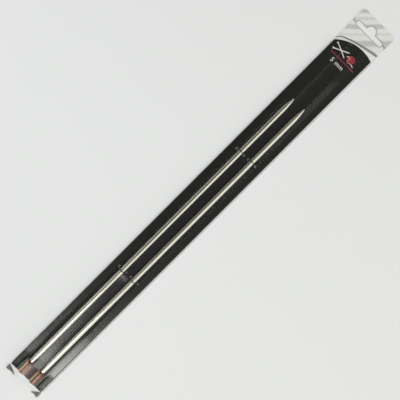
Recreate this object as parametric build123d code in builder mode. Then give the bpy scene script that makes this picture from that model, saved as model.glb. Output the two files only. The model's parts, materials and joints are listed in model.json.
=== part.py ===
from build123d import *
import os
from math import asin, atan2, cos, hypot, sin, tan

# A pair of straight metal knitting needles with laminated-wood end knobs, tied to a
# two-ply display card that slides out of a clear hanging pouch.
#
# Millimetres. +X runs from the knobs to the points, +Y to the side of needle 1, +Z up.
# The pack lies on its back on z = 0, and the origin is the middle of its underside.

os.makedirs("parts", exist_ok=True)

# ---- Driving sizes: the needle ----
needle_length = 350.0       # back of the knob to the point
shaft_diameter = 5.0
shaft_wall = 0.5            # the shaft is a drawn tube, swaged shut at the point
taper_length = 16.0         # ogive from full diameter to the rounded point
nose_radius = 0.75          # rounded end of the point
nose_sweep = 78.0           # degrees of the nose's arc, from the axis to the ogive
solid_tip_length = 22.0     # the tube's bore stops this far short of the point
bore_cone_length = 3.0

# ---- Driving sizes: the knob, turned from a block of glued veneers ----
knob_diameter = 11.2
knob_length = 12.5
knob_back_round = 2.8
knob_front_round = 2.2
veneer_count = 7
socket_depth = 9.0          # blind socket that the shaft is glued into
glue_gap = 0.03             # radial
veneer_roll = (14.0, -11.0)  # turn of each knob's veneer planes about its own axis, degrees

# ---- Driving sizes: the card ----
needle_pitch = 13.6         # between the two needle axes
card_side_margin = 12.4     # needle axis to the card's side edge
card_foot_margin = 4.4      # card's bottom edge to the back of the knobs
card_head_margin = 76.6     # needle points to the crest of the arched top
card_arch_drop_left = 10.8  # the arched top is lower at the +Y side than at the -Y side
card_arch_drop_right = 2.1
card_crest_offset = -7.5    # the crest's place across the card
ply = 0.35                  # thickness of each of the card's two plies
foot_corner_radius = 1.0
notch_width = 12.4          # opening of the front ply round each knob
notch_front_gap = 3.3       # front of the knob to the end of its notch
notch_chamfer = 3.0

# ---- Driving sizes: the thread ties ----
thread_diameter = 0.8
tie_hole_diameter = 2.6
tie_outer_offset = 5.0      # hole beside the shaft, on the card's edge side
tie_inner_offset = 4.0      # hole beside the shaft, on the card's middle side
lower_tie_from_knob = 116.5  # front of the knob to the lower tie
upper_tie_from_point = 68.1  # point of the needle to the upper tie
knot_diameter = 1.1
knot_length = 1.8
thread_turn_radius = 0.9    # bends of the thread at the back of the card
thread_flat = 0.15          # by which its bends over the shaft are tighter than the shaft

# ---- Driving sizes: the pouch ----
film = 0.15
pouch_foot_margin = 7.5     # open end of the pouch to the card's bottom edge
side_weld = 0.5             # welded flange of the two films, outside the front film's wall
head_gap = 3.0              # crest of the card to the line where the films meet
film_lap = 4.5              # flat end of the front film beyond that line
header_length = 22.8        # hanging tab beyond the front film
header_film = 0.3
header_corner_radius = 3.0
film_slope_knob = 44.0      # how far the film takes to come down from the knobs
film_slope_point = 20.0     # and from the points to the card
slot_width = 32.0           # hanging slot, wing to wing
slot_wing_height = 4.8
slot_hump_radius = 5.0
slot_from_end = 6.5         # top of the hump to the end of the tab

# ---- Clearances between pieces that move past each other ----
knob_clearance = 0.2        # knob to the back ply
shaft_clearance = 0.15      # shaft to the front ply, and to the threads
slide_clearance = 0.1       # knots to the back film
film_clearance = 0.25       # needles and card to the front film
side_clearance = 0.15       # card edges to the front film's side walls

# ---- Heights of the stack, bottom to top ----
back_film_top = film
card_bottom = back_film_top + slide_clearance + knot_diameter
back_ply_top = card_bottom + ply
card_top = back_ply_top + ply

# ---- Places along X ----
card_width = needle_pitch + 2 * card_side_margin
card_length = card_foot_margin + needle_length + card_head_margin
pouch_length = pouch_foot_margin + card_length + head_gap + film_lap + header_length
pouch_width = card_width + 2 * (side_clearance + film + side_weld)
pouch_foot_x = -pouch_length / 2
pouch_head_x = pouch_length / 2
card_foot_x = pouch_foot_x + pouch_foot_margin
card_crest_x = card_foot_x + card_length
knob_back_x = card_foot_x + card_foot_margin
knob_front_x = knob_back_x + knob_length
point_x = knob_back_x + needle_length
taper_x = point_x - taper_length
notch_end_x = knob_front_x + notch_front_gap
lower_tie_x = knob_front_x + lower_tie_from_knob
upper_tie_x = point_x - upper_tie_from_point
weld_x = card_crest_x + head_gap
front_film_end_x = weld_x + film_lap

# ---- The needles lean on their knobs, so their axes fall a little towards the points ----
shaft_radius = shaft_diameter / 2
knob_radius = knob_diameter / 2
bore_radius = shaft_radius - shaft_wall
knob_mid_x = knob_back_x + knob_length / 2
knob_axis_z = back_ply_top + knob_clearance + knob_radius
rest_axis_z = card_top + shaft_clearance + shaft_radius
lean = atan2(knob_axis_z - rest_axis_z, taper_x - knob_mid_x)
needle_y = (needle_pitch / 2, -needle_pitch / 2)


def axis_height(x):
    """Height of a needle's axis above a place x along the card."""
    return knob_axis_z - (x - knob_mid_x) * tan(lean)


def shoulder(foot_offset, rise, radius):
    """How far beside a rod's axis a skin over the rod turns down from the level of its top.

    From there it runs straight to its foot, which lies foot_offset beside the axis and
    rise below it, and it touches the rod's side on the way.
    """
    steepness = atan2(rise, foot_offset) + asin(radius / hypot(foot_offset, rise))
    return foot_offset - (rise + radius) / tan(steepness)


def needle_plane(y):
    """Plane whose X runs along the needle's axis, from the back of its knob."""
    return Plane(
        origin=(knob_back_x, y, axis_height(knob_back_x)),
        x_dir=(cos(lean), 0, -sin(lean)),
        z_dir=(sin(lean), 0, cos(lean)),
    )


# ---- Needles: one tube and seven veneers each ----
shaft_start = knob_length - socket_depth
ogive_start = needle_length - taper_length
bore_end = needle_length - solid_tip_length
veneer_thickness = knob_diameter / veneer_count

for number, y in enumerate(needle_y, start=1):
    seat = needle_plane(y)

    with BuildPart() as shaft:
        with BuildSketch(seat):
            with BuildLine():
                wall = Polyline(
                    (bore_end, 0),
                    (bore_end - bore_cone_length, bore_radius),
                    (shaft_start, bore_radius),
                    (shaft_start, shaft_radius),
                    (ogive_start, shaft_radius),
                )
                nose = CenterArc((needle_length - nose_radius, 0), nose_radius, 0, nose_sweep)
                TangentArc(wall @ 1, nose @ 1, tangent=(1, 0))
                Line(nose @ 0, wall @ 0)
            make_face()
        revolve(axis=Axis(seat.origin, seat.x_dir))
    shaft.part.label = f"needle_{number}_shaft"
    export_step(shaft.part, f"parts/needle_{number}_shaft.step")

    for layer in range(veneer_count):
        layer_low = -knob_radius + layer * veneer_thickness
        with BuildPart() as veneer:
            # the whole turned knob
            with BuildSketch(seat) as knob_profile:
                with Locations((knob_length / 2, knob_radius / 2)):
                    Rectangle(knob_length, knob_radius)
                rim = knob_profile.vertices().group_by(Axis.Y)[-1].sort_by(Axis.X)
                fillet(rim[0], knob_back_round)
                rim = knob_profile.vertices().sort_by(Axis.X)[-2:].sort_by(Axis.Y)
                fillet(rim[-1], knob_front_round)
            revolve(axis=Axis(seat.origin, seat.x_dir))
            # its blind socket for the shaft
            socket = Plane(origin=seat.origin, x_dir=seat.y_dir, z_dir=seat.x_dir)
            with BuildSketch(socket.offset(shaft_start)):
                Circle(shaft_radius + glue_gap)
            extrude(amount=socket_depth, mode=Mode.SUBTRACT)
            # this veneer's share of it
            with BuildSketch(socket):
                with Locations(Rot(0, 0, veneer_roll[number - 1])):
                    with Locations((layer_low + veneer_thickness / 2, 0)):
                        Rectangle(veneer_thickness, 2 * knob_diameter)
            extrude(amount=knob_length, mode=Mode.INTERSECT)
        name = f"needle_{number}_knob_veneer_{layer + 1}"
        veneer.part.label = name
        export_step(veneer.part, f"parts/{name}.step")


# ---- Card: a solid back ply, and a front ply notched round the knobs ----
tie_places = [
    (x, y, 1 if y > 0 else -1)
    for x in (lower_tie_x, upper_tie_x)
    for y in needle_y
]
hole_centres = [
    (x, y + side * offset)
    for x, y, side in tie_places
    for offset in (tie_outer_offset, -tie_inner_offset)
]


half_card = card_width / 2
with BuildSketch() as card_sheet:
    with BuildLine():
        sides = FilletPolyline(
            (card_crest_x - card_arch_drop_right, -half_card),
            (card_foot_x, -half_card),
            (card_foot_x, half_card),
            (card_crest_x - card_arch_drop_left, half_card),
            radius=foot_corner_radius,
        )
        ThreePointArc(sides @ 0, (card_crest_x, card_crest_offset), sides @ 1)
    make_face()
    with Locations(hole_centres):
        Circle(tie_hole_diameter / 2, mode=Mode.SUBTRACT)


with BuildPart() as card_back:
    with BuildSketch(Plane.XY.offset(card_bottom)):
        add(card_sheet.sketch)
    extrude(amount=ply)
card_back.part.label = "card_back"
export_step(card_back.part, "parts/card_back.step")

with BuildPart() as card_front:
    with BuildSketch(Plane.XY.offset(back_ply_top)):
        add(card_sheet.sketch)
        for y in needle_y:
            with BuildLine():
                Polyline(
                    (card_foot_x, y - notch_width / 2),
                    (notch_end_x - notch_chamfer, y - notch_width / 2),
                    (notch_end_x, y - notch_width / 2 + notch_chamfer),
                    (notch_end_x, y + notch_width / 2 - notch_chamfer),
                    (notch_end_x - notch_chamfer, y + notch_width / 2),
                    (card_foot_x, y + notch_width / 2),
                    close=True,
                )
            make_face(mode=Mode.SUBTRACT)
    extrude(amount=ply)
card_front.part.label = "card_front"
export_step(card_front.part, "parts/card_front.step")


# ---- Ties: a loop of thread over each shaft, through two holes, knotted at the back ----
thread_radius = thread_diameter / 2
loop_radius = shaft_radius + shaft_clearance + thread_radius
knot_z = card_bottom - knot_diameter / 2

for number, (x, y, side) in enumerate(tie_places, start=1):
    loop_top_z = axis_height(x) + loop_radius
    hole_z = card_top + thread_radius
    rise = axis_height(x) - hole_z
    low_y, high_y = sorted((y + side * tie_outer_offset, y - side * tie_inner_offset))
    low_bend_y = y - shoulder(y - low_y, rise, loop_radius)
    high_bend_y = y + shoulder(high_y - y, rise, loop_radius)
    start_y = y - knot_length / 4
    end_y = y + knot_length / 4
    with BuildPart() as tie:
        with BuildLine(Plane(origin=(x, 0, 0), x_dir=(0, 1, 0), z_dir=(1, 0, 0))) as path:
            FilletPolyline(
                (start_y, knot_z),
                (low_y, knot_z),
                (low_y, hole_z),
                (low_bend_y, loop_top_z),
                (high_bend_y, loop_top_z),
                (high_y, hole_z),
                (high_y, knot_z),
                (end_y, knot_z),
                radius=[
                    thread_turn_radius,
                    thread_turn_radius,
                    loop_radius - thread_flat,
                    loop_radius - thread_flat,
                    thread_turn_radius,
                    thread_turn_radius,
                ],
            )
        with BuildSketch(Plane(origin=(x, start_y, knot_z), z_dir=(0, -1, 0))):
            Circle(thread_radius)
        sweep(path=path.wires()[0])
        with BuildSketch(Plane(origin=(x, y - knot_length / 2, knot_z), z_dir=(0, 1, 0))):
            Circle(knot_diameter / 2)
        extrude(amount=knot_length)
    tie.part.label = f"tie_{number}"
    export_step(tie.part, f"parts/tie_{number}.step")


# ---- Pouch: a flat back film, a front film tented over the needles, a header tab ----
hump_x = pouch_head_x - slot_from_end - slot_hump_radius
wing_x = hump_x - slot_hump_radius + slot_wing_height / 2
with BuildSketch() as hanging_slot:
    with Locations((wing_x, 0)):
        SlotOverall(slot_width, slot_wing_height, rotation=90)
    with Locations((hump_x, 0)):
        Circle(slot_hump_radius)

with BuildPart() as pouch_back:
    with BuildSketch() as back_sheet:
        Rectangle(pouch_length, pouch_width)
        head_corners = back_sheet.vertices().group_by(Axis.X)[-1]
        fillet(head_corners, header_corner_radius)
        add(hanging_slot.sketch, mode=Mode.SUBTRACT)
    extrude(amount=film)
pouch_back.part.label = "pouch_back"
export_step(pouch_back.part, "parts/pouch_back.step")

with BuildPart() as header_tab:
    with BuildSketch(Plane.XY.offset(back_film_top)) as tab_sheet:
        with Locations((pouch_head_x - header_length / 2, 0)):
            Rectangle(header_length, pouch_width)
        head_corners = tab_sheet.vertices().group_by(Axis.X)[-1]
        fillet(head_corners, header_corner_radius)
        add(hanging_slot.sketch, mode=Mode.SUBTRACT)
    extrude(amount=header_film)
header_tab.part.label = "header_tab"
export_step(header_tab.part, "parts/header_tab.step")

wall_y = card_width / 2 + side_clearance
wall_top_z = card_top + film_clearance
flat_rise = 0.3             # crown of the film where it only covers the card
flat_shoulder_y = card_width / 3


def tented(radius, axis_z):
    """Inner wall height, shoulder place and top height of film stretched over two rods."""
    reach = radius + film_clearance
    axis_y = needle_pitch / 2
    shoulder_y = axis_y + shoulder(wall_y - axis_y, axis_z - wall_top_z, reach)
    return wall_top_z, shoulder_y, axis_z + reach


def flat_over(height):
    """The same three sizes where the film lies nearly flat at a height."""
    return height, flat_shoulder_y, height + flat_rise


tied_radius = loop_radius + thread_radius
knob_tent = tented(knob_radius, axis_height(knob_back_x))
film_stations = [
    (pouch_foot_x, knob_tent),
    (knob_front_x + film_clearance, knob_tent),
    (knob_front_x + film_slope_knob, tented(tied_radius, axis_height(knob_front_x))),
    (taper_x, tented(tied_radius, axis_height(taper_x))),
    (point_x + film_clearance, tented(tied_radius, axis_height(taper_x))),
    (point_x + film_slope_point, flat_over(wall_top_z)),
    (card_crest_x + film_clearance, flat_over(wall_top_z)),
    (weld_x, (1.5 * film, flat_shoulder_y, 2 * film)),
]

with BuildPart() as pouch_front:
    for x, (edge_z, shoulder_y, top_z) in film_stations:
        with BuildSketch(Plane(origin=(x, 0, 0), x_dir=(0, 1, 0), z_dir=(1, 0, 0))):
            with BuildLine():
                half_outside = [
                    (pouch_width / 2, film),
                    (pouch_width / 2, 2 * film),
                    (wall_y + film, 2 * film),
                    (wall_y + film, max(edge_z + film, 2.2 * film)),
                    (shoulder_y + film / 2, top_z + film),
                ]
                half_inside = [(shoulder_y, top_z), (wall_y, edge_z), (wall_y, film)]
                outside = half_outside + [(-y, z) for y, z in reversed(half_outside)]
                inside = [(-y, z) for y, z in reversed(half_inside)] + half_inside
                Polyline(*outside, *inside, close=True)
            make_face()
    loft(ruled=True)
    with BuildSketch(Plane.XY.offset(film)):
        with Locations(((weld_x + front_film_end_x) / 2, 0)):
            Rectangle(film_lap, pouch_width)
    extrude(amount=2 * film)
pouch_front.part.label = "pouch_front"
export_step(pouch_front.part, "parts/pouch_front.step")
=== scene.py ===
import json
from math import asin, atan2, cos, hypot, pi, radians, sin

import bmesh
import bpy
from bpy.props import (
    FloatProperty, FloatVectorProperty, IntProperty, PointerProperty, StringProperty,
)
from mathutils import Matrix, Vector


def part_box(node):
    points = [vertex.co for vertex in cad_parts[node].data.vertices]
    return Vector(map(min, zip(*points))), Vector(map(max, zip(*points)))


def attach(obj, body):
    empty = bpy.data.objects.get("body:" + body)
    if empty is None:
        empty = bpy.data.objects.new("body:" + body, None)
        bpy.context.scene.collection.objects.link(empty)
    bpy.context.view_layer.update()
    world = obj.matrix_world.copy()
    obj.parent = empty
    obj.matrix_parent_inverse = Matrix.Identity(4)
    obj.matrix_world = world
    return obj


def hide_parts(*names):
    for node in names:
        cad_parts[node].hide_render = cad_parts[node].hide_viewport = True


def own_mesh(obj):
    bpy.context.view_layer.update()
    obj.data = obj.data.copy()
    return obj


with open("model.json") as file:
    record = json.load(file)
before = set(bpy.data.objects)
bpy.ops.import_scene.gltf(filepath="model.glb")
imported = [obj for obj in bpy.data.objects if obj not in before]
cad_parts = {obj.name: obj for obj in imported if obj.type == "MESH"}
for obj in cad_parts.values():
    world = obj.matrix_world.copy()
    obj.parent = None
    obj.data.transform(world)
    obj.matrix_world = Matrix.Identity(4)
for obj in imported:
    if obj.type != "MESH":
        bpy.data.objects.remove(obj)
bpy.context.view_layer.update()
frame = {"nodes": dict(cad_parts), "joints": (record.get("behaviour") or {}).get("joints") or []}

bl_info = {
    "name": "Straight Knitting Needles",
    "version": (1, 0, 0),
    "blender": (4, 5, 0),
    "location": "3D View > Sidebar > Needles",
    "description": "Finishes a pair of knitting needles tied to a card in a clear hanging pouch",
    "category": "Add Mesh",
}

NEEDLES = (1, 2)
VENEERS = range(1, 8)
TIES = range(1, 5)


# ---- Places read from the frame ----
class NeedleLine:
    """The axis of one needle: where its shaft starts, which way it points, and its radii."""

    def __init__(self, number):
        low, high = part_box(f"needle_{number}_shaft")
        joint = next(j for j in frame["joints"] if j["name"] == f"needle_{number}_slide")
        self.along = -Vector(joint["axis"]).normalized()
        self.up = Vector((-self.along.z, 0, self.along.x))
        self.side = Vector((0, 1, 0))
        self.radius = (high.y - low.y) / 2
        self.y = (high.y + low.y) / 2
        self.start = Vector((
            low.x + self.radius * self.up.x,
            self.y,
            high.z - self.radius * self.up.z,
        ))
        self.length = (high.x - self.start.x) / self.along.x

    def height(self, x):
        """Height of the axis above a place x."""
        return self.start.z + (x - self.start.x) * self.along.z / self.along.x

    def matrix(self):
        """Turns a piece made along +X from the origin to lie on this axis."""
        turn = Matrix((self.along, self.side, self.up)).transposed().to_4x4()
        return Matrix.Translation(self.start) @ turn


LINES = {number: NeedleLine(number) for number in NEEDLES}


def knob_box(number):
    """Lowest and highest corner of a whole knob."""
    boxes = [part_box(f"needle_{number}_knob_veneer_{layer}") for layer in VENEERS]
    low = Vector([min(b[0][axis] for b in boxes) for axis in range(3)])
    high = Vector([max(b[1][axis] for b in boxes) for axis in range(3)])
    return low, high


CARD_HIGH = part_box("card_front")[1]
CARD_BACK_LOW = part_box("card_back")[0]
POUCH_LOW, POUCH_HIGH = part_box("pouch_back")
FRONT_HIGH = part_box("pouch_front")[1]
TAB_LOW, TAB_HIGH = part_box("header_tab")
KNOB_LOW, KNOB_HIGH = knob_box(1)
FILM_LEVEL = POUCH_HIGH.z + 0.00002    # the front film, where it lies on the back film
INK_LEVEL = CARD_HIGH.z + 0.000004     # the underside of the print
THREAD_BACK = CARD_BACK_LOW.z - 0.00055    # the thread's middle, behind the card
THREAD_BEND = 0.0009                   # radius of its bends there
TIE_PLACES = [(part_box(f"tie_{n}")[0].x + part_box(f"tie_{n}")[1].x) / 2 for n in (1, 3)]


# ---- Settings that a user would change ----
def colour(name, description, default):
    """A colour that a user can pick."""
    return FloatVectorProperty(
        name=name, description=description, subtype="COLOR", size=3, min=0, max=1,
        default=default,
    )


def length(name, description, default):
    """A length in metres."""
    return FloatProperty(
        name=name, description=description, unit="LENGTH", subtype="DISTANCE", min=0,
        default=default,
    )


def factor(name, description, default):
    """A share from 0 to 1."""
    return FloatProperty(
        name=name, description=description, subtype="FACTOR", min=0, max=1, default=default,
    )


class MetalSettings(bpy.types.PropertyGroup):
    """Plated tube of the two needles."""

    plate: colour("Plate", "Colour of the nickel plate", (0.80, 0.79, 0.715))
    drawing_lines: length("Drawing lines", "Spacing of the fine lines left by drawing", 0.00012)
    taper: length("Taper", "Length of the needle's ogive end", 0.016)
    nose: length("Nose", "Radius of the rounded point", 0.00075)
    wall: length("Wall", "Wall of the tube", 0.0005)
    solid_tip: length("Solid tip", "Length of the swaged solid end", 0.022)


class VeneerSettings(bpy.types.PropertyGroup):
    """Dyed veneers of the two knobs."""

    green: colour("Green", "Green dyed veneer", (0.052, 0.094, 0.036))
    cream: colour("Cream", "Undyed veneer", (0.56, 0.36, 0.235))
    red: colour("Red", "Red dyed veneer", (0.24, 0.034, 0.036))
    orange: colour("Orange", "Orange dyed veneer", (0.37, 0.105, 0.045))
    brown: colour("Brown", "Brown dyed veneer", (0.115, 0.050, 0.026))
    maroon: colour("Maroon", "Maroon dyed veneer", (0.125, 0.022, 0.032))
    fibre: length("Fibre", "Spacing of the wood's fibres", 0.00022)
    lacquer: factor("Lacquer", "Strength of the clear lacquer coat", 0.12)


class CardSettings(bpy.types.PropertyGroup):
    """Black card and what is printed on it."""

    black: colour("Black", "Colour of the coated face", (0.0030, 0.0036, 0.0034))
    core: colour("Core", "Colour of the card's cut edge", (0.055, 0.052, 0.048))
    rule: colour("Rule", "Colour of the printed rule", (0.16, 0.012, 0.030))
    accent: colour("Accent", "Colour of the printed yarn", (0.50, 0.028, 0.050))
    white: colour("White", "Colour of the white print", (0.80, 0.80, 0.78))
    ink: length("Ink", "Thickness of the printed ink", 0.00002)
    size_text: StringProperty(
        name="Size", description="Needle size printed under the rule", default="5 mm",
    )


class ThreadSettings(bpy.types.PropertyGroup):
    """Black thread that ties the shafts down."""

    dye: colour("Dye", "Colour of the thread", (0.012, 0.012, 0.013))
    diameter: length("Diameter", "Thickness of the thread", 0.0008)
    twist: length("Twist", "Length of one turn of the plies", 0.0022)
    plies: IntProperty(name="Plies", description="Strands twisted together", default=3, min=2)


class FilmSettings(bpy.types.PropertyGroup):
    """Clear film of the pouch."""

    tint: colour("Tint", "Colour of the light that the film scatters", (0.80, 0.81, 0.79))
    thickness: length("Thickness", "Thickness of the front film", 0.00006)
    haze: factor("Haze", "Share of light that the clear film scatters", 0.003)
    gap: length("Gap", "Gap between the film and what it lies over", 0.00018)
    wrinkle: length("Wrinkle", "Height of the wrinkles at the open end", 0.0011)
    header_haze: factor("Header haze", "Share of light that the header's film scatters", 0.80)
    seal: length("Seal", "Width of the seal above the card at its wide end", 0.0028)


class StudioSettings(bpy.types.PropertyGroup):
    """Floor, lights and camera."""

    table: colour("Table", "Colour of the table", (0.785, 0.805, 0.82))
    lens: FloatProperty(
        name="Lens", description="Focal length of the camera", unit="CAMERA", default=40.0,
    )
    distance: length("Distance", "Height of the camera above the table", 0.4101)
    roll: FloatProperty(
        name="Roll", description="Turn of the needles in the picture", subtype="ANGLE",
        default=radians(45.03),
    )


# ---- Shader helpers ----
class Shader:
    """A material's node tree, filled from a few short calls."""

    def __init__(self, name):
        self.material = bpy.data.materials.new(name)
        self.material.use_nodes = True
        self.tree = self.material.node_tree
        self.tree.nodes.clear()
        self.output = self.tree.nodes.new("ShaderNodeOutputMaterial")

    def add(self, kind, **inputs):
        """Adds a node. Inputs are given by name, with spaces as underscores."""
        node = self.tree.nodes.new("ShaderNode" + kind)
        for key, value in inputs.items():
            socket = node.inputs[key.replace("_", " ")]
            self.feed(socket, value)
        return node

    def feed(self, socket, value):
        """Links or sets one input."""
        if isinstance(value, bpy.types.NodeSocket):
            self.tree.links.new(value, socket)
        elif isinstance(value, bpy.types.Node):
            self.tree.links.new(value.outputs[0], socket)
        elif socket.type == "RGBA" and len(value) == 3:
            socket.default_value = (*value, 1)
        else:
            socket.default_value = value

    def place(self, scale=(1, 1, 1), turn=(0, 0, 0), shift=(0, 0, 0)):
        """Object coordinates, centred, turned and scaled."""
        coordinates = self.add("TexCoord")
        return self.add(
            "Mapping", Vector=coordinates.outputs["Object"], Location=shift,
            Rotation=turn, Scale=scale,
        )

    def noise(self, vector, scale, detail=3.0, roughness=0.5):
        """Grey noise."""
        node = self.add("TexNoise", Vector=vector, Scale=scale, Detail=detail, Roughness=roughness)
        return node.outputs[0]

    def ramp(self, value, *stops):
        """Colour ramp through (place, colour or grey) stops."""
        node = self.add("ValToRGB", Fac=value)
        ramp = node.color_ramp
        while len(ramp.elements) < len(stops):
            ramp.elements.new(0.5)
        for element, (place, shade) in zip(ramp.elements, stops):
            element.position = place
            element.color = (*shade, 1) if hasattr(shade, "__len__") else (shade,) * 3 + (1,)
        return node.outputs[0]

    def spread(self, value, low, high):
        """Maps 0 to 1 onto low to high."""
        node = self.add("MapRange", Value=value)
        node.inputs["To Min"].default_value = low
        node.inputs["To Max"].default_value = high
        return node.outputs[0]

    def math(self, operation, first, second=0.0):
        """One sum on two numbers."""
        node = self.tree.nodes.new("ShaderNodeMath")
        node.operation = operation
        self.feed(node.inputs[0], first)
        self.feed(node.inputs[1], second)
        return node.outputs[0]

    def mix(self, share, first, second, blend="MIX"):
        """Mix of two colours."""
        node = self.tree.nodes.new("ShaderNodeMix")
        node.data_type = "RGBA"
        node.blend_type = blend
        self.feed(node.inputs[0], share)
        self.feed(node.inputs[6], first)
        self.feed(node.inputs[7], second)
        return node.outputs[2]

    def layered(self, share, first, second):
        """Mix of two shaders."""
        node = self.add("MixShader", Fac=share)
        self.feed(node.inputs[1], first)
        self.feed(node.inputs[2], second)
        return node

    def bump(self, height, distance, strength=1.0, under=None):
        """A normal tilted by height."""
        node = self.add("Bump", Height=height, Distance=distance, Strength=strength)
        if under is not None:
            self.feed(node.inputs["Normal"], under)
        return node.outputs[0]

    def done(self, shader):
        """Ends the material with its shader."""
        self.feed(self.output.inputs["Surface"], shader.outputs[0])
        return self.material


def plate_material(settings):
    """Bright nickel plate with fine lines along the tube and a few faint handling marks."""
    s = Shader("nickel_plate")
    lines = s.noise(s.place(scale=(6, 1 / settings.drawing_lines, 1 / settings.drawing_lines)), 1.0)
    marks = s.noise(s.place(scale=(90, 700, 700)), 1.0, detail=6.0, roughness=0.65)
    cloud = s.noise(s.place(scale=(60, 160, 160)), 1.0, detail=2.0)
    tone = s.mix(s.spread(cloud, 0.0, 0.35), settings.plate, [c * 0.86 for c in settings.plate])
    rough = s.math("ADD", s.spread(marks, -0.05, 0.06), s.spread(cloud, 0.12, 0.22))
    shader = s.add("BsdfPrincipled", Base_Color=tone, Roughness=rough, Metallic=1.0)
    s.feed(shader.inputs["Normal"], s.bump(lines, 0.000004, 0.35))
    return s.done(shader)


def veneer_material(name, dye, seed, settings):
    """Dyed wood with fibres and pores along the knob, under a clear lacquer."""
    s = Shader(f"veneer_{name}")
    shift = (0.013 * seed, 0.007 * seed, 0)
    fibre = s.noise(
        s.place(scale=(110, 1 / settings.fibre, 1 / settings.fibre), shift=shift), 1.0,
        detail=5.0, roughness=0.6,
    )
    pores = s.noise(s.place(scale=(420, 5200, 5200), shift=shift), 1.0, detail=1.0)
    figure = s.noise(s.place(scale=(60, 420, 420), shift=shift), 1.0, detail=3.0)
    dark = [c * 0.52 for c in dye]
    light = [min(1.0, c * 1.32 + 0.012) for c in dye]
    tone = s.mix(s.spread(fibre, -0.1, 1.1), dark, light)
    tone = s.mix(s.spread(figure, 0.0, 0.45), tone, [c * 0.8 for c in dye])
    pits = s.ramp(pores, (0.30, 0.0), (0.40, 1.0))
    tone = s.mix(pits, [c * 0.22 for c in dye], tone)
    shader = s.add(
        "BsdfPrincipled", Base_Color=tone, Roughness=s.spread(fibre, 0.34, 0.52),
        Coat_Weight=settings.lacquer, Coat_Roughness=0.25,
    )
    grain = s.bump(pits, 0.00003, 0.5, under=s.bump(fibre, 0.00003, 0.4))
    s.feed(shader.inputs["Normal"], grain)
    return s.done(shader)


def card_material(name, settings, sheen):
    """Black coated card: fibre mottle, faint scuffs, and a greyer core on its cut edge."""
    s = Shader(name)
    fibres = s.noise(s.place(scale=(900, 900, 900)), 1.0, detail=6.0, roughness=0.6)
    mottle = s.noise(s.place(scale=(70, 70, 70)), 1.0, detail=3.0)
    scuffs = s.noise(s.place(scale=(160, 30, 400), turn=(0, 0, radians(20))), 1.0, detail=5.0)
    face = s.mix(s.spread(mottle, 0.0, 0.5), settings.black, [c * 1.5 for c in settings.black])
    rubbed = s.ramp(scuffs, (0.66, 0.0), (0.80, 1.0))
    face = s.mix(s.math("MULTIPLY", rubbed, 0.25), face, [c * 4 for c in settings.black])
    normal = s.add("NewGeometry").outputs["Normal"]
    upright = s.math("ABSOLUTE", s.add("SeparateXYZ", Vector=normal).outputs["Z"])
    edge = s.ramp(upright, (0.35, 1.0), (0.6, 0.0))
    tone = s.mix(edge, face, settings.core)
    rough = s.spread(mottle, sheen - 0.05, sheen + 0.07)
    rough = s.math("ADD", rough, s.math("MULTIPLY", edge, 0.3))
    shader = s.add(
        "BsdfPrincipled", Base_Color=tone, Roughness=rough, Specular_IOR_Level=0.22,
    )
    s.feed(shader.inputs["Normal"], s.bump(fibres, 0.000012, 0.5))
    return s.done(shader)


def ink_material(name, dye):
    """Printed ink, a little uneven where the card's fibres show through."""
    s = Shader(name)
    grain = s.noise(s.place(scale=(1500, 1500, 1500)), 1.0, detail=4.0)
    tone = s.mix(s.spread(grain, 0.0, 0.6), dye, [c * 0.72 for c in dye])
    shader = s.add("BsdfPrincipled", Base_Color=tone, Roughness=s.spread(grain, 0.35, 0.55))
    s.feed(shader.inputs["Normal"], s.bump(grain, 0.000008, 0.4))
    return s.done(shader)


def thread_material(settings):
    """Black spun thread with a soft sheen from its fibres."""
    s = Shader("black_thread")
    fuzz = s.noise(s.place(scale=(9000, 9000, 9000)), 1.0, detail=5.0, roughness=0.7)
    tone = s.mix(s.spread(fuzz, 0.0, 0.8), settings.dye, [c * 3.2 for c in settings.dye])
    shader = s.add(
        "BsdfPrincipled", Base_Color=tone, Roughness=0.72, Sheen_Weight=0.35, Sheen_Roughness=0.4,
    )
    s.feed(shader.inputs["Normal"], s.bump(fuzz, 0.00004, 0.6))
    return s.done(shader)


def painted_glare_share(s, mist):
    """Share of painted glare, laid on as haze beyond the knobs: a strip beside needle 2, a
    fading patch between the needles, and a faint one beside needle 1."""
    place = s.add("SeparateXYZ", Vector=s.place())
    x = s.math("ADD", place.outputs["X"], s.spread(mist, -0.004, 0.004))
    beyond = s.math("MULTIPLY", s.math("SUBTRACT", x, KNOB_HIGH.x), 1 / 0.06)
    across = s.math("MULTIPLY", s.math("ADD", place.outputs["Y"], 0.02), 1 / 0.04)
    zones = (
        (
            ((0.0, 0.0), (0.04, 0.42), (0.40, 0.30), (0.78, 0.11), (0.84, 0.0)),
            ((0.03, 0.0), (0.05, 1.0), (0.20, 1.0), (0.235, 0.0)),
        ),
        (
            ((0.0, 0.0), (0.05, 0.34), (0.22, 0.20), (0.55, 0.0)),
            ((0.385, 0.0), (0.42, 0.8), (0.58, 0.8), (0.61, 0.0)),
        ),
        (
            ((0.0, 0.0), (0.06, 0.12), (0.20, 0.08), (0.45, 0.0)),
            ((0.78, 0.0), (0.82, 0.9), (0.95, 0.9), (0.97, 0.0)),
        ),
    )
    total = 0.0
    for lengthwise, crosswise in zones:
        zone = s.math("MULTIPLY", s.ramp(beyond, *lengthwise), s.ramp(across, *crosswise))
        total = s.math("ADD", total, zone)
    return total


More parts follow.
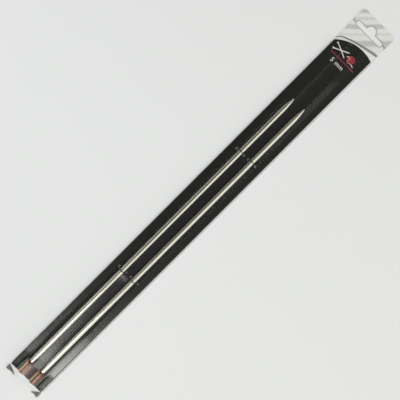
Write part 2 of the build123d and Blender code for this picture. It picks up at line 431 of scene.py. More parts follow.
def clear_film_material(name, settings, index, with_painted_glare=False):
    """Glossy clear film: seen through, with a bright reflection, a little haze and, if asked,
    painted glare.
    """
    s = Shader(name)
    ripple = s.noise(s.place(scale=(34, 90, 90)), 1.0, detail=2.0)
    mist = s.noise(s.place(scale=(150, 150, 150)), 1.0, detail=3.0)
    # painted glare: pale patches beyond the knobs, carried in the film's scattered light
    painted_glare = painted_glare_share(s, mist) if with_painted_glare else 0.0
    normal = s.bump(ripple, 0.00012, 0.5)
    clear = s.add("BsdfTransparent", Color=(0.995, 0.997, 0.995))
    gloss = s.add("BsdfAnisotropic", Color=(1, 1, 1), Roughness=0.2, Normal=normal)
    milk = s.add("BsdfDiffuse", Color=settings.tint, Normal=normal)
    # the real haze plus the painted glare
    haze = s.math("ADD", s.spread(mist, 0.0, settings.haze * 2), painted_glare)
    veil = s.layered(haze, clear, milk)
    facing = s.add("Fresnel", IOR=index, Normal=normal)
    shader = s.layered(s.math("MINIMUM", facing, 0.03), veil, gloss)
    return s.done(shader)


def header_film_material(settings):
    """Thick film of the hanging tab, with pale and grey streaks slantwise across it: painted
    reflections.
    """
    s = Shader("header_film")
    slant = s.place(turn=(0, 0, radians(-45)))
    along = s.add("SeparateXYZ", Vector=slant).outputs["X"]
    drift = s.noise(s.place(scale=(38, 38, 38)), 1.0, detail=3.0)
    along = s.math("ADD", along, s.spread(drift, -0.0016, 0.0016))
    share = s.add("MapRange", Value=along)
    share.inputs["From Min"].default_value = (TAB_LOW.x - TAB_HIGH.y) / 2 ** 0.5
    share.inputs["From Max"].default_value = (TAB_HIGH.x + TAB_HIGH.y) / 2 ** 0.5
    # painted reflections: pale and grey bands slantwise across the tab
    painted_reflection_bands = s.ramp(
        share.outputs[0], (0.00, 0.90), (0.10, 0.92), (0.17, 0.86), (0.22, 0.50), (0.29, 0.47),
        (0.335, 0.90), (0.41, 0.94), (0.435, 0.74), (0.46, 0.76), (0.49, 0.95), (0.55, 0.93),
        (0.575, 0.56), (0.64, 0.50), (0.675, 0.88), (0.735, 0.92), (0.76, 0.66), (0.79, 0.68),
        (0.82, 0.93), (0.87, 0.90), (0.90, 0.47), (1.00, 0.42),
    )
    fine_place = s.add("Mapping", Vector=slant, Scale=(1400, 40, 40))
    fine = s.noise(fine_place, 1.0, detail=3.0)
    tone = s.mix(s.spread(fine, 0.0, 0.3), painted_reflection_bands, (0.97, 0.98, 0.95))
    tone = s.mix(0.5, tone, s.mix(s.spread(drift, 0.0, 0.8), (0.86, 0.87, 0.83), painted_reflection_bands))
    normal = s.bump(painted_reflection_bands, 0.0008, 0.5, under=s.bump(fine, 0.00003, 0.5))
    clear = s.add("BsdfTransparent", Color=(0.96, 0.965, 0.96))
    milk = s.add("BsdfDiffuse", Color=tone, Normal=normal)
    body = s.layered(settings.header_haze, clear, milk)
    gloss = s.add("BsdfAnisotropic", Color=(1, 1, 1), Roughness=0.12, Normal=normal)
    shader = s.layered(s.add("Fresnel", IOR=1.49, Normal=normal), body, gloss)
    return s.done(shader)


def frost_and_painted_shade_material(name, low, high, cover):
    """Pressed or folded film, frosted and greyer than the clear film; the grey is painted shade."""
    s = Shader(name)
    knurl = s.noise(s.place(scale=(1200, 1200, 1200)), 1.0, detail=3.0)
    # grey tone from low to high: painted shade
    tone = s.mix(s.spread(knurl, 0.0, 1.0), low, high)
    clear = s.add("BsdfTransparent", Color=(0.9, 0.9, 0.9))
    milk = s.add("BsdfPrincipled", Base_Color=tone, Roughness=0.4)
    s.feed(milk.inputs["Normal"], s.bump(knurl, 0.00003, 0.6))
    shader = s.layered(cover, clear, milk)
    return s.done(shader)


def table_material(settings):
    """Pale laminate table with a barely visible mottle."""
    s = Shader("table")
    cloud = s.noise(s.place(scale=(7, 7, 7)), 1.0, detail=4.0)
    grit = s.noise(s.place(scale=(900, 900, 900)), 1.0, detail=2.0)
    tone = s.mix(s.spread(cloud, 0.0, 0.3), settings.table, [c * 0.94 for c in settings.table])
    shader = s.add("BsdfPrincipled", Base_Color=tone, Roughness=s.spread(grit, 0.55, 0.65))
    return s.done(shader)


# ---- Mesh helpers ----
def make_piece(name, bm, material, body, stands_for=(), smooth=True, recalculate=True):
    """Turns a bmesh into a finished piece that rides on a body."""
    if recalculate:
        bmesh.ops.recalc_face_normals(bm, faces=bm.faces)
    mesh = bpy.data.meshes.new(name)
    bm.to_mesh(mesh)
    bm.free()
    if smooth:
        mesh.shade_smooth()
    mesh.materials.append(material)
    piece = bpy.data.objects.new(name, mesh)
    bpy.context.scene.collection.objects.link(piece)
    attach(piece, body)
    if stands_for:
        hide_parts(*stands_for)
    return piece


def flat_mesh(data):
    """A mesh made from a curve or text, which is then removed."""
    holder = bpy.data.objects.new(data.name, data)
    bpy.context.scene.collection.objects.link(holder)
    bpy.context.view_layer.update()
    view = bpy.context.evaluated_depsgraph_get()
    mesh = bpy.data.meshes.new_from_object(holder.evaluated_get(view), depsgraph=view)
    bpy.data.objects.remove(holder)
    return mesh


def spun(profile, matrix, steps=64):
    """A closed turned shape: a profile of (place along, radius), spun round +X and placed."""
    bm = bmesh.new()
    verts = [bm.verts.new((x, 0, r)) for x, r in profile]
    edges = [bm.edges.new(pair) for pair in zip(verts, verts[1:])]
    bmesh.ops.spin(
        bm, geom=verts + edges, cent=(0, 0, 0), axis=(1, 0, 0), angle=2 * pi, steps=steps,
        use_merge=True, use_duplicate=False,
    )
    bmesh.ops.remove_doubles(bm, verts=bm.verts, dist=0.0000005)
    bmesh.ops.transform(bm, matrix=matrix, verts=bm.verts)
    return bm


def grid(across, along, size=1):
    """A flat square grid, to be bent into shape."""
    bm = bmesh.new()
    bmesh.ops.create_grid(bm, x_segments=across, y_segments=along, size=size)
    return bm


def thicken(bm, thickness):
    """Gives a sheet its thickness."""
    bmesh.ops.recalc_face_normals(bm, faces=bm.faces)
    bmesh.ops.solidify(bm, geom=bm.faces[:], thickness=thickness)


def smoothstep(value, low, high):
    """Rises smoothly from 0 at low to 1 at high."""
    share = min(1.0, max(0.0, (value - low) / (high - low)))
    return share * share * (3 - 2 * share)


def mixed(first, second, share):
    """The value that lies at a share of the way from first to second."""
    return first + (second - first) * share


# ---- Operators: one for each piece or group of like pieces ----
class NEEDLES_OT_shafts(bpy.types.Operator):
    """Make the two plated tubes, each swaged shut to an ogive point"""

    bl_idname = "needles.shafts"
    bl_label = "Shafts"

    def profile(self, line, settings):
        """Half section of the tube, from the point round to the end of its bore."""
        ogive = line.length - settings.taper
        centre = line.length - settings.nose
        nose_turn = radians(78)
        nose = [
            (centre + settings.nose * cos(a), settings.nose * sin(a))
            for a in (nose_turn * step / 8 for step in range(9))
        ]
        end_x, end_r = nose[-1]
        run, drop = end_x - ogive, line.radius - end_r
        bend = (run * run + drop * drop) / (2 * drop)
        reach = asin(run / bend)
        curve = [
            (ogive + bend * sin(a), line.radius - bend * (1 - cos(a)))
            for a in (reach * step / 18 for step in range(17, -1, -1))
        ]
        rings = [(ogive * share / 24, line.radius) for share in range(23, 0, -1)]
        bevel = 0.00012
        bore = line.radius - settings.wall
        bore_end = line.length - settings.solid_tip
        back = [
            (bevel, line.radius), (0, line.radius - bevel), (0, bore + bevel), (bevel, bore),
            (bore_end - 0.003, bore), (bore_end, 0),
        ]
        return nose + curve + rings + back

    def execute(self, context):
        settings = context.scene.needle_metal
        material = plate_material(settings)
        for number, line in LINES.items():
            bm = spun(self.profile(line, settings), line.matrix())
            make_piece(
                f"needle_{number}_tube", bm, material, f"needle_{number}",
                [f"needle_{number}_shaft"],
            )
        return {"FINISHED"}


class NEEDLES_OT_knobs(bpy.types.Operator):
    """Finish the veneers of both knobs as dyed, lacquered wood"""

    bl_idname = "needles.knobs"
    bl_label = "Knobs"

    orders = {
        1: ("brown", "red", "orange", "green", "red", "cream", "green"),
        2: ("green", "red", "orange", "green", "cream", "brown", "maroon"),
    }

    def execute(self, context):
        settings = context.scene.needle_veneer
        for number, order in self.orders.items():
            for layer, dye in zip(VENEERS, order):
                node = frame["nodes"][f"needle_{number}_knob_veneer_{layer}"]
                seed = number * 7 + layer
                material = veneer_material(
                    f"{dye}_{number}_{layer}", list(getattr(settings, dye)), seed, settings
                )
                node.material_slots[0].material = material
        return {"FINISHED"}


class NEEDLES_OT_card(bpy.types.Operator):
    """Finish the two plies of the black card"""

    bl_idname = "needles.card"
    bl_label = "Card"

    def execute(self, context):
        settings = context.scene.needle_card
        front = frame["nodes"]["card_front"]
        front.material_slots[0].material = card_material("card_face", settings, 0.42)
        back = frame["nodes"]["card_back"]
        back.material_slots[0].material = card_material("card_rear", settings, 0.6)
        return {"FINISHED"}


class NEEDLES_OT_print(bpy.types.Operator):
    """Print the card: a rule, a ball of yarn with its loose end, and the needle's size"""

    bl_idname = "needles.print"
    bl_label = "Print"

    rule_x = 0.0201          # from the card's crest down to the rule
    rule_width = 0.0013
    rule_half = 0.0143
    ball_radius = 0.0036
    ball_y = -0.0052
    text_height = 0.0060

    def ribbon(self, points, width, name, closed=False, order=3):
        """A flat printed line of one width along smooth points."""
        data = bpy.data.curves.new(name, "CURVE")
        data.dimensions = "3D"
        spline = data.splines.new("NURBS")
        spline.points.add(len(points) - 1)
        for point, (x, y) in zip(spline.points, points):
            point.co = (x, y, 0, 1)
        spline.order_u = order
        spline.use_endpoint_u = not closed
        spline.use_cyclic_u = closed
        spline.resolution_u = 8
        data.bevel_depth = width / 2
        data.bevel_resolution = 2
        return flat_mesh(data)

    def inked(self, meshes, name, material, ink, place):
        """Presses printed lines flat onto the card and joins them into one piece."""
        whole = bmesh.new()
        for mesh in meshes:
            whole.from_mesh(mesh)
            bpy.data.meshes.remove(mesh)
        top = max(v.co.z for v in whole.verts)
        bottom = min(v.co.z for v in whole.verts)
        scale = ink / max(top - bottom, 1e-9)
        bmesh.ops.transform(
            whole, matrix=Matrix.Diagonal((1, 1, scale, 1)), verts=whole.verts
        )
        lift = INK_LEVEL - bottom * scale
        bmesh.ops.transform(
            whole, matrix=Matrix.Translation((0, 0, lift)) @ place, verts=whole.verts
        )
        return make_piece(name, whole, material, "card", smooth=False)

    def words(self, text, height, name):
        """Generic lettering as a thin mesh, centred on the origin."""
        data = bpy.data.curves.new(name, "FONT")
        data.body = text
        data.size = height
        data.align_x = "CENTER"
        data.align_y = "CENTER"
        data.extrude = 0.0001
        data.resolution_u = 6
        data.space_character = 1.12
        return flat_mesh(data)

    def execute(self, context):
        settings = context.scene.needle_card
        white = ink_material("ink_white", list(settings.white))
        accent = ink_material("ink_accent", list(settings.accent))
        crest = CARD_HIGH.x
        level = crest - self.rule_x
        # text runs towards -Y, with its head towards +X
        facing = Matrix.Rotation(-pi / 2, 4, "Z")

        bm = bmesh.new()
        bmesh.ops.create_cube(
            bm, size=1,
            matrix=Matrix.Translation((level, -0.0003, INK_LEVEL + settings.ink / 2))
            @ Matrix.Diagonal((self.rule_width, 2 * self.rule_half, settings.ink, 1)),
        )
        make_piece(
            "printed_rule", bm, ink_material("ink_rule", list(settings.rule)), "card",
            smooth=False,
        )

        # a ball of yarn: its outline and three bundles of strands
        r = self.ball_radius
        ring = [(r * cos(a), r * sin(a)) for a in (2 * pi * step / 12 for step in range(12))]
        strands = [self.ribbon(ring, 0.0006, "ball_outline", closed=True)]
        for turn in (25, 85, 145):
            for step in (-1, 0, 1):
                offset = 0.0012 * step
                reach = 0.86 * (r * r - offset * offset) ** 0.5
                bow = 0.0011
                line = [(-reach, offset), (0, offset + bow), (reach, offset)]
                a = radians(turn)
                turned = [(x * cos(a) - y * sin(a), x * sin(a) + y * cos(a)) for x, y in line]
                strands.append(self.ribbon(turned, 0.00042, "ball_strand"))
        place = Matrix.Translation((level + 0.0062, self.ball_y, 0)) @ facing
        self.inked(strands, "printed_yarn_ball", accent, settings.ink, place)

        # two crossed needles and the loose end of the yarn, in white
        marks = [
            self.ribbon(
                [(-0.0125, -0.0026), (-0.0055, 0.0004), (0.0015, 0.0040)], 0.0009, "mark_1"
            ),
            self.ribbon(
                [(-0.0128, 0.0034), (-0.0058, 0.0008), (0.0012, -0.0028)], 0.0009, "mark_2"
            ),
            self.ribbon([(-0.0132, -0.0030), (-0.0125, -0.0026)], 0.0022, "mark_3", order=2),
            self.ribbon([(-0.0135, 0.0037), (-0.0128, 0.0034)], 0.0022, "mark_4", order=2),
            self.ribbon(
                [(0.0020, 0.0002), (0.0040, 0.0018), (0.0058, -0.0004), (0.0048, -0.0030),
                 (0.0070, -0.0034), (0.0095, -0.0022), (0.0128, -0.0036)],
                0.0007, "mark_5",
            ),
        ]
        place = Matrix.Translation((level + 0.0060, 0.0018, 0)) @ facing
        self.inked(marks, "printed_needles", white, settings.ink, place)

        place = Matrix.Translation((level - 0.0052, 0.0016, 0)) @ facing
        text = self.words(settings.size_text, self.text_height, "size_text")
        self.inked([text], "printed_size", white, settings.ink, place)
        return {"FINISHED"}


class NEEDLES_OT_ties(bpy.types.Operator):
    """Twist the thread of the four ties over the shafts and knot it behind the card"""

    bl_idname = "needles.ties"
    bl_label = "Ties"

    def lobes(self, settings):
        """Section of the thread: one lobe for each ply."""
        data = bpy.data.curves.new("thread_section", "CURVE")
        data.dimensions = "2D"
        spline = data.splines.new("POLY")
        count = settings.plies * 6
        spline.points.add(count - 1)
        core = settings.diameter / 2 * 0.86
        for step, point in enumerate(spline.points):
            a = 2 * pi * step / count
            r = core * (1 + 0.16 * cos(settings.plies * a))
            point.co = (r * cos(a), r * sin(a), 0, 1)
        spline.use_cyclic_u = True
        return data

    def route(self, node, line, settings):
        """Thread's middle line in its own plane, from one side of the knot round to the other."""
        low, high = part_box(node)
        r = settings.diameter / 2
        x = (low.x + high.x) / 2
        loop = high.z - r - line.height(x)
        low_y, high_y = low.y + r, high.y - r
        hole = CARD_HIGH.z + r
        back = THREAD_BACK
        axis = line.height(x)
        points = [(line.y - 0.0004, back), (low_y + THREAD_BEND, back)]
        points += [
            (low_y + THREAD_BEND * (1 - cos(a)), back + THREAD_BEND * (1 - sin(a)))
            for a in (pi / 2 - radians(30), pi / 2 - radians(60), 0)
        ]
        points += [(low_y, hole)]
        steep_low = atan2(axis - hole, line.y - low_y) + asin(
            loop / hypot(line.y - low_y, axis - hole))
        steep_high = atan2(axis - hole, high_y - line.y) + asin(
            loop / hypot(high_y - line.y, axis - hole))
        first, last = pi / 2 + steep_low, pi / 2 - steep_high
        for step in range(13):
            a = mixed(first, last, step / 12)
            points.append((line.y + loop * cos(a), axis + loop * sin(a)))
        points += [(high_y, hole)]
        points += [
            (high_y - THREAD_BEND * (1 - cos(a)), back + THREAD_BEND * (1 - sin(a)))
            for a in (0, pi / 2 - radians(60), pi / 2 - radians(30))
        ]
        points += [(high_y - THREAD_BEND, back), (line.y + 0.0004, back)]
        return x, points

    def thread(self, points, settings, section, name):
        """Thread swept along points, its plies twisting at an even pitch."""
        data = bpy.data.curves.new(name, "CURVE")
        data.dimensions = "3D"
        data.bevel_mode = "OBJECT"
        data.bevel_object = section
        data.use_fill_caps = True
        spline = data.splines.new("POLY")
        fine = []
        for first, last in zip(points, points[1:]):
            gap = (last - first).length
            steps = max(1, round(gap / 0.00022))
            fine += [first.lerp(last, step / steps) for step in range(steps)]
        fine.append(points[-1])
        spline.points.add(len(fine) - 1)
        run = 0.0
        for step, (point, place) in enumerate(zip(spline.points, fine)):
            if step:
                run += (place - fine[step - 1]).length
            point.co = (*place, 1)
            point.tilt = 2 * pi * run / settings.twist
        return flat_mesh(data)

    def execute(self, context):
        settings = context.scene.needle_thread
        material = thread_material(settings)
        section = bpy.data.objects.new("thread_section", self.lobes(settings))
        context.scene.collection.objects.link(section)
        for number in TIES:
            node = f"tie_{number}"
            line = LINES[1 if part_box(node)[0].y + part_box(node)[1].y > 0 else 2]
            x, points = self.route(node, line, settings)
            bm = bmesh.new()
            loop = self.thread([Vector((x, y, z)) for y, z in points], settings, section, node)
            bm.from_mesh(loop)
            bpy.data.meshes.remove(loop)
            # the knot: three close turns round the back run
            turns = [
                Vector((
                    x + 0.00016 * cos(a),
                    line.y + mixed(-0.0006, 0.0006, a / (6 * pi)),
                    THREAD_BACK + 0.00016 * sin(a),
                ))
                for a in (6 * pi * step / 60 for step in range(61))
            ]
            knot = self.thread(turns, settings, section, f"{node}_knot")
            bm.from_mesh(knot)
            bpy.data.meshes.remove(knot)
            make_piece(f"{node}_thread", bm, material, "card", [node])
        bpy.data.objects.remove(section)
        return {"FINISHED"}


def weld_line(y):
    """Place along the pouch where the two films meet above the card's arch."""
    share = max(0.0, (CARD_HIGH.y - y) / (2 * CARD_HIGH.y))
    return FRONT_HIGH.x - 0.0155 + 0.0131 * share ** 0.5


class NEEDLES_OT_front_film(bpy.types.Operator):
    """Stretch the pouch's front film over the knobs and shafts, crumpled at its open end"""

    bl_idname = "needles.front_film"
    bl_label = "Front film"

    rows = 620
    columns = 96
    stops = (0.0, 0.22, 0.44, 0.60, 0.86, 0.93, 1.0)

    def supports(self, x):
        """Radius and height of what holds the film up at x."""
        line = LINES[1]
        knob_radius = (KNOB_HIGH.y - KNOB_LOW.y) / 2
        point_x = line.start.x + line.length
        lift = sum(0.00095 / (1 + ((x - tie_x) / 0.004) ** 2) for tie_x in TIE_PLACES)
        knob_share = 1 - smoothstep(x, KNOB_HIGH.x, KNOB_HIGH.x + 0.009)
        radius = mixed(line.radius + lift, knob_radius, knob_share)
        height = mixed(line.height(max(x, KNOB_HIGH.x)), (KNOB_LOW.z + KNOB_HIGH.z) / 2, knob_share)
        fall = smoothstep(x, point_x - 0.012, point_x + 0.045)
        radius = mixed(radius, 0.0003, fall)
        height = mixed(height, CARD_HIGH.z, fall)
        return radius + self.gap, height, knob_share

    def section(self, x, share):
        """Place across and height of the film, share going from its middle (0) to its edge (1)."""
        radius, axis_z, knob_share = self.supports(x)
        axis_y = LINES[1].y
        wall = CARD_HIGH.y + self.gap
        floor = CARD_HIGH.z + self.gap
        foot = mixed(0.0060, 0.0074, knob_share)
        rise = max(axis_z - floor, 0.00001)
        reach = min(radius, 0.98 * hypot(foot, rise))
        steep = atan2(rise, foot) + asin(reach / hypot(foot, rise))
        touch_y = axis_y + reach * sin(steep)
        touch_z = axis_z + reach * cos(steep)
        top = axis_z + reach
        stops = self.stops
        if share < stops[1]:
            k = share / stops[1]
            return axis_y * k, top - 0.0004 * (1 - k * k)
        if share < stops[2]:
            a = steep * (share - stops[1]) / (stops[2] - stops[1])
            return axis_y + reach * sin(a), axis_z + reach * cos(a)
        if share < stops[3]:
            k = (share - stops[2]) / (stops[3] - stops[2])
            return mixed(touch_y, axis_y + foot, k), mixed(touch_z, floor, k)
        if share < stops[4]:
            k = (share - stops[3]) / (stops[4] - stops[3])
            return mixed(axis_y + foot, wall, k), floor
        if share < stops[5]:
            k = (share - stops[4]) / (stops[5] - stops[4])
            return wall + 0.00006 * k, mixed(floor, FILM_LEVEL, k)
        k = (share - stops[5]) / (stops[6] - stops[5])
        return mixed(wall + 0.00006, POUCH_HIGH.y, k), FILM_LEVEL

    def mouth(self, share, side):
        """The film's free shape at its open end: a low arch with soft folds."""
        y = share * POUCH_HIGH.y
        crown = 0.0078 * (1 - share * share) ** 0.8
        z = FILM_LEVEL + crown
        ease = min(1.0, 3.2 * (1 - share))
        signed = y * side
        folds = sin(signed * 610 + 1.1) * 0.55 + sin(signed * 1270 + 2.0) * 0.35
        folds += sin(signed * 290 - 0.7) * 0.5
        return y, z + self.wrinkle * ease * folds

    def execute(self, context):
        settings = context.scene.needle_film
        self.gap = settings.gap
        self.wrinkle = settings.wrinkle
        # the front film carries the painted glare beyond the knobs
        material = clear_film_material("clear_film_front", settings, 1.38, with_painted_glare=True)
        start, end = POUCH_LOW.x, FRONT_HIGH.x
        bm = grid(self.rows, self.columns)
        for v in bm.verts:
            share, side = abs(v.co.y), (-1 if v.co.y < 0 else 1)
            # rows gather towards the open end
            x = mixed(start, end, ((v.co.x + 1) / 2) ** 1.45)
            y, z = self.section(x, share)
            # past the knobs it lets go of them and takes its free shape
            loose = 1 - smoothstep(x, start, KNOB_LOW.x - 0.0006)
            free_y, free_z = self.mouth(share, side)
            y, z = mixed(y, free_y, loose), mixed(z, free_z, loose)
            # past the card's arch it comes down to the weld
            weld = weld_line(y * side)
            z = mixed(z, FILM_LEVEL, smoothstep(x, weld - 0.0035, weld))
            # the cut end wanders a little
            x += loose ** 2 * 0.0011 * (sin(y * side * 420) + 0.6 * sin(y * side * 910 + 1))
            v.co = (x, y * side, max(z, FILM_LEVEL))
        film = make_piece(
            "front_film", bm, material, "pouch", ["pouch_front"], recalculate=False
        )
        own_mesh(film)
        return {"FINISHED"}


class NEEDLES_OT_seal(bpy.types.Operator):
    """Press the frosted seal that follows the card's arch; its dark grey is painted shade"""

    bl_idname = "needles.seal"
    bl_label = "Seal"

    def execute(self, context):
        settings = context.scene.needle_film
        bm = grid(4, 160)
        top = FILM_LEVEL + settings.thickness
        for v in bm.verts:
            y = v.co.y * (POUCH_HIGH.y - 0.0002)
            width = settings.seal * (0.44 + 0.56 * (1 - v.co.y) / 2)
            x = weld_line(y) + 0.0002 + width * (v.co.x + 1) / 2
            v.co = (min(x, FRONT_HIGH.x - 0.0001), y, top + 0.00003)
        thicken(bm, 0.00004)
        # frosted seal, its dark grey painted shade
        frost_and_painted_shade = frost_and_painted_shade_material("seal_frost", (0.25, 0.26, 0.245), (0.35, 0.36, 0.34), 0.8)
        make_piece("seal", bm, frost_and_painted_shade, "pouch", smooth=False)

        # above the seal the two films lie together, with the header's painted reflection streaks
        bm = grid(4, 160)
        for v in bm.verts:
            y = v.co.y * (POUCH_HIGH.y - 0.0002)
            low = min(weld_line(y) + settings.seal * 0.6, FRONT_HIGH.x - 0.0001)
            v.co = (mixed(low, FRONT_HIGH.x, (v.co.x + 1) / 2), y, top + 0.00001)
        make_piece("joined_film", bm, header_film_material(settings), "pouch")
        return {"FINISHED"}


class NEEDLES_OT_folds(bpy.types.Operator):
    """Fold the two corners of the front film over at the pouch's open end, grey with painted shade
    """

    bl_idname = "needles.folds"
    bl_label = "Folded corners"

    reach = {1: (0.0105, 0.0052), -1: (0.0075, 0.0066)}   # across and along, for each side

    def execute(self, context):
        settings = context.scene.needle_film
        # near-black to grey film: painted shade of the folded corners
        frost_and_painted_shade = frost_and_painted_shade_material("folded_film", (0.07, 0.073, 0.07), (0.30, 0.31, 0.295), 0.80)
        base = FILM_LEVEL + settings.thickness
        for side, (across, along) in self.reach.items():
            bm = grid(18, 18)
            for v in bm.verts:
                u, w = (v.co.x + 1) / 2, (v.co.y + 1) / 2
                taper = 1 - u * (0.72 + 0.28 * w)
                x = POUCH_LOW.x + 0.0003 + along * w * taper + 0.0012 * sin(u * 3.2) * u
                y = side * (POUCH_HIGH.y - 0.0003 - across * u)
                curl = sin(pi * min(1.0, w * 1.15)) * 0.0011 + 0.0003 * sin(u * 11) * u
                v.co = (x, y, base + 0.0002 + curl * (0.35 + 0.65 * taper))
            thicken(bm, 0.00005)
            name = "folded_corner_left" if side > 0 else "folded_corner_right"
            make_piece(name, bm, frost_and_painted_shade, "pouch")
        return {"FINISHED"}


class NEEDLES_OT_back_film(bpy.types.Operator):
    """Finish the pouch's flat back film"""

    bl_idname = "needles.back_film"
    bl_label = "Back film"

    def execute(self, context):
        settings = context.scene.needle_film
        back = frame["nodes"]["pouch_back"]
        back.material_slots[0].material = clear_film_material(
            "clear_film_back", settings, 1.15
        )
        return {"FINISHED"}


class NEEDLES_OT_header(bpy.types.Operator):
    """Finish the header tab, with a crease in the narrow film at each end of its slot, each crease
    grey with painted shade
    """

    bl_idname = "needles.header"
    bl_label = "Header"

    slot_from_tab = 0.0087   # from the tab's lower edge to the middle of the slot's wings
    slot_half = 0.0162
    rim_width = 0.00055

    def rim(self, tab):
        """A narrow band on top of the tab along every punched edge of its slot, grey with painted
        shade.
        """
        source = bmesh.new()
        source.from_mesh(tab.data)
        source.transform(tab.matrix_world)
        bmesh.ops.remove_doubles(source, verts=source.verts, dist=0.000001)
        bm = bmesh.new()
        lift = Vector((0, 0, 0.00003))
        for edge in source.edges:
            level = all(v.co.z > TAB_HIGH.z - 0.00001 for v in edge.verts)
            middle = (edge.verts[0].co + edge.verts[1].co) / 2
            inside = abs(middle.y) < TAB_HIGH.y - 0.001 and TAB_LOW.x + 0.001 < middle.x
            inside = inside and middle.x < TAB_HIGH.x - 0.001
            walls = [f for f in edge.link_faces if abs(f.normal.z) < 0.5]
            if not (level and inside and len(walls) == 1):
                continue
            away = -walls[0].normal * self.rim_width
            low = [v.co + lift for v in edge.verts]
            corners = [low[0], low[1], low[1] + away, low[0] + away]
            bm.faces.new([bm.verts.new(corner) for corner in corners])
        source.free()
        bmesh.ops.remove_doubles(bm, verts=bm.verts, dist=0.00006)
        thicken(bm, 0.00003)
        # grey band: painted shade of the punched edge's thickness
        frost_and_painted_shade = frost_and_painted_shade_material("punched_edge", (0.30, 0.31, 0.30), (0.50, 0.51, 0.49), 0.7)
        make_piece("slot_rim", bm, frost_and_painted_shade, "pouch", smooth=False)

    def execute(self, context):
        settings = context.scene.needle_film
        tab = frame["nodes"]["header_tab"]
        tab.material_slots[0].material = header_film_material(settings)
        self.rim(tab)
        # grey crease sheets: painted shade along the creases
        frost_and_painted_shade = frost_and_painted_shade_material("creased_film", (0.22, 0.23, 0.215), (0.52, 0.53, 0.51), 0.75)
        middle = TAB_LOW.x + self.slot_from_tab
        for side, name in ((1, "left"), (-1, "right")):
            bm = grid(10, 24)
            for v in bm.verts:
                across = (v.co.y + 1) / 2
                width = 0.0011 * (0.35 + 0.65 * across) * (1 + 0.25 * sin(across * 9))
                y = mixed(self.slot_half, TAB_HIGH.y - 0.0003, across)
                x = middle - side * 0.0012 + width * v.co.x + 0.0009 * across * side
                ridge = 0.00028 * (1 - v.co.x ** 2) * across
                v.co = (x, y * side, TAB_HIGH.z + 0.00002 + ridge)
            thicken(bm, 0.00004)
            make_piece(f"slot_crease_{name}", bm, frost_and_painted_shade, "pouch")
        return {"FINISHED"}


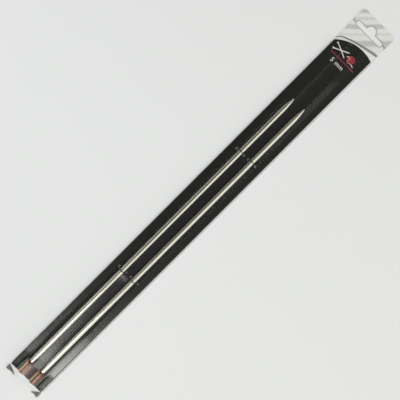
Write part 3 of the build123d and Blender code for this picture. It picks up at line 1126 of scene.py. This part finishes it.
class NEEDLES_OT_stage(bpy.types.Operator):
    """Make the table, the lights and the camera"""

    bl_idname = "needles.stage"
    bl_label = "Stage"

    def light(self, name, place, size, power, tint, glossy=True, diffuse=True):
        """A rectangular lamp aimed at the origin."""
        data = bpy.data.lights.new(name, "AREA")
        data.shape = "RECTANGLE"
        data.size, data.size_y = size
        data.energy = power
        data.color = tint
        lamp = bpy.data.objects.new(name, data)
        lamp.location = place
        lamp.rotation_mode = "QUATERNION"
        lamp.rotation_quaternion = (-Vector(place)).to_track_quat("-Z", "Y")
        lamp.visible_camera = False
        lamp.visible_glossy = glossy
        lamp.visible_diffuse = diffuse
        bpy.context.scene.collection.objects.link(lamp)
        return lamp

    def execute(self, context):
        scene = context.scene
        settings = scene.needle_studio
        bm = grid(2, 2, size=3)
        mesh = bpy.data.meshes.new("table")
        bm.to_mesh(mesh)
        bm.free()
        mesh.materials.append(table_material(settings))
        table = bpy.data.objects.new("table", mesh)
        table.location.z = -0.0002
        scene.collection.objects.link(table)

        world = bpy.data.worlds.new("studio")
        world.use_nodes = True
        tree = world.node_tree
        room = tree.nodes["Background"]
        room.inputs["Color"].default_value = (1.0, 0.95, 0.80, 1)
        room.inputs["Strength"].default_value = 0.18
        # the backdrop is as pale as the table, but lights the scene no more than the room does
        backdrop = tree.nodes.new("ShaderNodeBackground")
        backdrop.inputs["Color"].default_value = (0.72, 0.74, 0.745, 1)
        seen = tree.nodes.new("ShaderNodeLightPath").outputs["Is Camera Ray"]
        choice = tree.nodes.new("ShaderNodeMixShader")
        tree.links.new(seen, choice.inputs[0])
        tree.links.new(room.outputs[0], choice.inputs[1])
        tree.links.new(backdrop.outputs[0], choice.inputs[2])
        tree.links.new(choice.outputs[0], tree.nodes["World Output"].inputs["Surface"])
        scene.world = world

        # a long soft box on the -Y side gives each shaft its bright half
        self.light("soft_box", (0.0, -0.77, 0.64), (2.6, 1.68), 11.5, (1.0, 0.995, 0.97))
        # a small lamp beyond the knobs gives the film and the card there their glare
        self.light(
            "glare", (-0.80, -0.23, 1.0), (0.45, 0.62), 4.1, (1.0, 0.99, 0.96), diffuse=False
        )
        # and one on the +Y side brightens the whole shaft beside the knobs
        self.light(
            "knob_end", (-0.62, 0.83, 0.70), (0.7, 0.6), 0.55, (1.0, 1.0, 0.96), diffuse=False
        )
        # a low panel beyond the header lights the film where it comes down from the card
        self.light("end_panel", (1.15, 0.0, 0.35), (0.9, 0.5), 3.2, (1.0, 1.0, 0.98), diffuse=False)
        self.light("key", (-0.30, 0.80, 1.25), (0.55, 0.55), 11.0, (1.0, 1.0, 1.0), glossy=False)
        self.light("fill", (0.1, -0.1, 1.6), (1.6, 1.6), 4.6, (0.98, 0.99, 1.0), glossy=False)
        scene.view_settings.view_transform = "Standard"

        data = bpy.data.cameras.new("camera")
        data.lens = settings.lens
        data.sensor_width = 36
        camera = bpy.data.objects.new("camera", data)
        camera.location = (0.0031, 0.0059, settings.distance)
        turn = Matrix.Rotation(-settings.roll, 4, "Z")
        lean = Matrix.Rotation(-0.0085, 4, "X") @ Matrix.Rotation(-0.0044, 4, "Y")
        camera.rotation_mode = "QUATERNION"
        camera.rotation_quaternion = (turn @ lean).to_quaternion()
        scene.collection.objects.link(camera)
        scene.camera = camera
        return {"FINISHED"}


OPERATORS = (
    NEEDLES_OT_shafts,
    NEEDLES_OT_knobs,
    NEEDLES_OT_card,
    NEEDLES_OT_print,
    NEEDLES_OT_ties,
    NEEDLES_OT_front_film,
    NEEDLES_OT_seal,
    NEEDLES_OT_folds,
    NEEDLES_OT_back_film,
    NEEDLES_OT_header,
    NEEDLES_OT_stage,
)
SETTINGS = {
    "needle_metal": MetalSettings,
    "needle_veneer": VeneerSettings,
    "needle_card": CardSettings,
    "needle_thread": ThreadSettings,
    "needle_film": FilmSettings,
    "needle_studio": StudioSettings,
}


class NEEDLES_PT_pack(bpy.types.Panel):
    """Lists the steps and the settings of the needles and their pack"""

    bl_idname = "NEEDLES_PT_pack"
    bl_label = "Knitting Needles"
    bl_space_type = "VIEW_3D"
    bl_region_type = "UI"
    bl_category = "Needles"

    def draw(self, context):
        layout = self.layout
        for operator in OPERATORS:
            layout.operator(operator.bl_idname)
        for name, group in SETTINGS.items():
            box = layout.box()
            settings = getattr(context.scene, name)
            for key in group.__annotations__:
                box.prop(settings, key)


def register():
    for group in SETTINGS.values():
        bpy.utils.register_class(group)
    for operator in OPERATORS:
        bpy.utils.register_class(operator)
    bpy.utils.register_class(NEEDLES_PT_pack)
    for name, group in SETTINGS.items():
        setattr(bpy.types.Scene, name, PointerProperty(type=group))


def unregister():
    for name in SETTINGS:
        delattr(bpy.types.Scene, name)
    bpy.utils.unregister_class(NEEDLES_PT_pack)
    for operator in reversed(OPERATORS):
        bpy.utils.unregister_class(operator)
    for group in reversed(SETTINGS.values()):
        bpy.utils.unregister_class(group)


def main():
    register()
    bpy.ops.needles.stage()
    bpy.ops.needles.ties()
    bpy.ops.needles.shafts()
    bpy.ops.needles.knobs()
    bpy.ops.needles.card()
    bpy.ops.needles.print()
    bpy.ops.needles.back_film()
    bpy.ops.needles.front_film()
    bpy.ops.needles.seal()
    bpy.ops.needles.folds()
    bpy.ops.needles.header()


if __name__ == "__main__":
    main()
